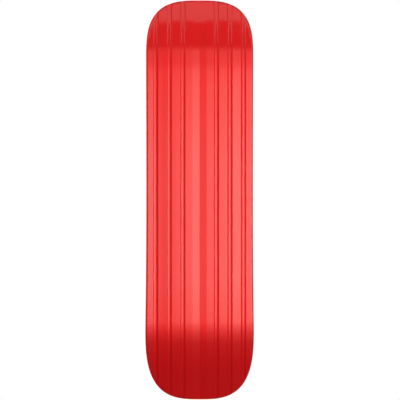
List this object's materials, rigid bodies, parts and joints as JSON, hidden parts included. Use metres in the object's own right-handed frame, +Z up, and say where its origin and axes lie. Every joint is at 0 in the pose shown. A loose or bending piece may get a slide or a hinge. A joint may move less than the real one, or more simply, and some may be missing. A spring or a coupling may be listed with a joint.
{
  "type": "snowskate",
  "caption": "Sliding deck with a channelled plastic running base, laminated maple core, upturned nose and tail, and a foam grip sheet.",
  "frame": {"origin": "under the middle of the deck, on the plane that the flat part of the running base rests on", "axes": "+X towards the nose, +Y towards the left side when facing the nose from above, +Z up through the deck"},
  "size_m": [0.825, 0.2232, 0.0641],
  "materials": {
    "base_plastic": "glossy, with faint lengthwise streaks",
    "maple_face": "satin, clear-sealed, grain along the board",
    "maple_long": "satin, clear-sealed edge, grain along the board",
    "maple_cross": "satin, clear-sealed edge, end grain showing",
    "grip_foam": "matte closed-cell foam with cut grooves"
  },
  "bodies": {
    "root": {"base_sheet": "base_plastic", "veneer_1_lower_face": "maple_face", "veneer_2_long": "maple_long", "veneer_3_cross": "maple_cross", "veneer_4_core": "maple_long", "veneer_5_cross": "maple_cross", "veneer_6_long": "maple_long", "veneer_7_upper_face": "maple_face", "grip_sheet": "grip_foam"}
  },
  "joints": []
}
